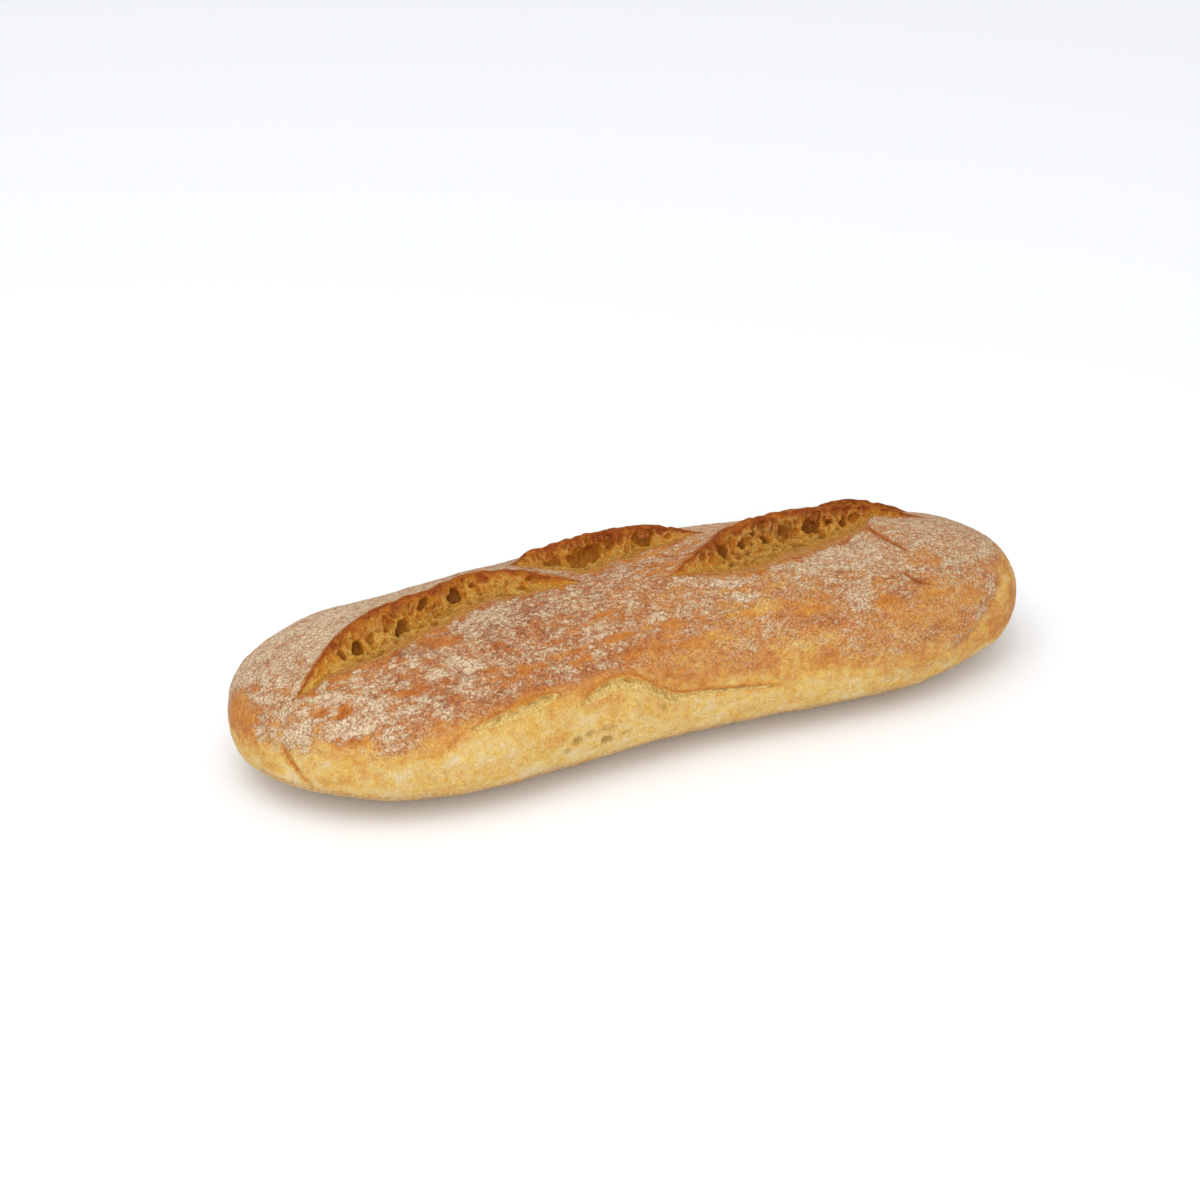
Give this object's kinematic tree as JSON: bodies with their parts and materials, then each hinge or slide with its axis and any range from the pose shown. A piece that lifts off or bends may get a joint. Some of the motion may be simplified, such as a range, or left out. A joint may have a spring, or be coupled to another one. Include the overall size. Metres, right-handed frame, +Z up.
{
  "type": "filone bread loaf",
  "caption": "Long floured Italian loaf with slanted overlapping slashes, raised ears and open crumb, resting on a flat base.",
  "frame": {"origin": "centre of the flat base, under the middle of the loaf's bounding box", "axes": "+X along the loaf towards its right end as seen from the side where the slashes open, -Y towards that side, +Z up"},
  "size_m": [0.38, 0.1278, 0.0778],
  "materials": {
    "crust": "matt baked crust, dusted with flour, with torn golden crumb in the slashes"
  },
  "bodies": {
    "root": {"loaf": "crust"}
  },
  "joints": []
}
